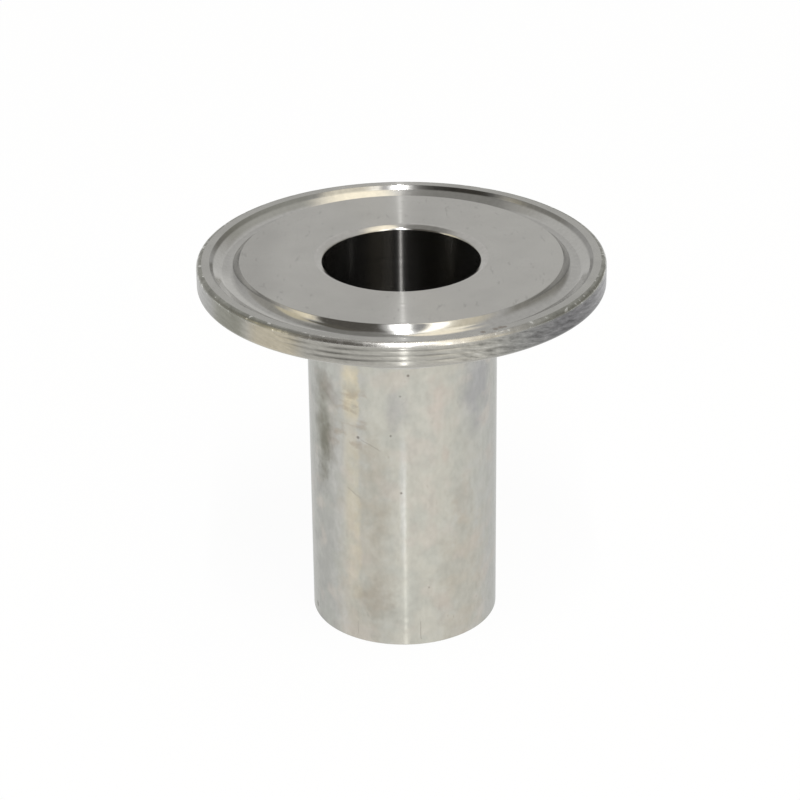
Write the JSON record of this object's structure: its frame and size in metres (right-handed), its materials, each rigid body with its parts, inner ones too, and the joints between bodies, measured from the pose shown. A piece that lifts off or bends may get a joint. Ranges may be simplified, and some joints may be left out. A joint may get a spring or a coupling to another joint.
{
  "type": "sanitary threaded adapter",
  "caption": "Turned stainless adapter: clamp flange with gasket groove on a plain round barrel, bored through, with a female pipe thread in its lower end.",
  "frame": {"origin": "centre of the barrel's flat lower end, on which the adapter stands", "axes": "+Z along the bore axis, from the threaded lower end up to the clamp face; the part is round about Z, so X and Y are free"},
  "size_m": [0.0506, 0.0506, 0.0486],
  "materials": {
    "turned_steel": "turned stainless steel, satin on the barrel and finely faced on the flange"
  },
  "bodies": {
    "root": {"adapter_body": "turned_steel"}
  },
  "joints": []
}
